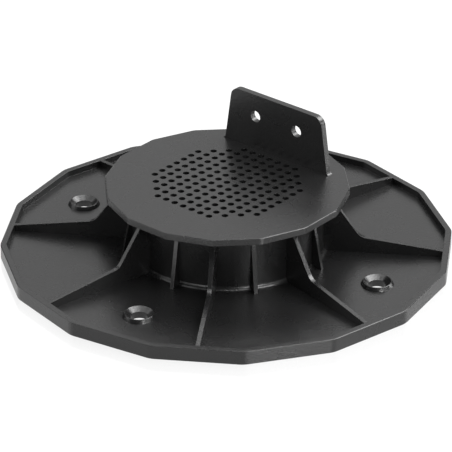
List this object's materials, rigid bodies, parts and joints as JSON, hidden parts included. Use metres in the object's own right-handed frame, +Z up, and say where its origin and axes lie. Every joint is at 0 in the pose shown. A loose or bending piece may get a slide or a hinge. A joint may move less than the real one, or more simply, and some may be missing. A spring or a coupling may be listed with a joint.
{
  "type": "decking pedestal",
  "caption": "Height-adjustable decking pedestal: ribbed polygonal base plate with screw bosses, a drum, and a perforated head plate with an upright joist tab.",
  "frame": {"origin": "on the ground under the middle of the drum, with the head screwed fully down", "axes": "+Z up, +Y towards the joist tab, +X along the tab"},
  "size_m": [0.2056, 0.2056, 0.0617],
  "materials": {
    "base_plastic": "fine grained, satin",
    "head_plastic": "fine grained, satin"
  },
  "bodies": {
    "base": {"base": "base_plastic"},
    "head": {"head": "head_plastic"}
  },
  "joints": [
    {"name": "head_lift", "type": "slide", "parent": "base", "child": "head", "axis": [0, 0, 1], "range_m": [0, 0.015]}
  ]
}
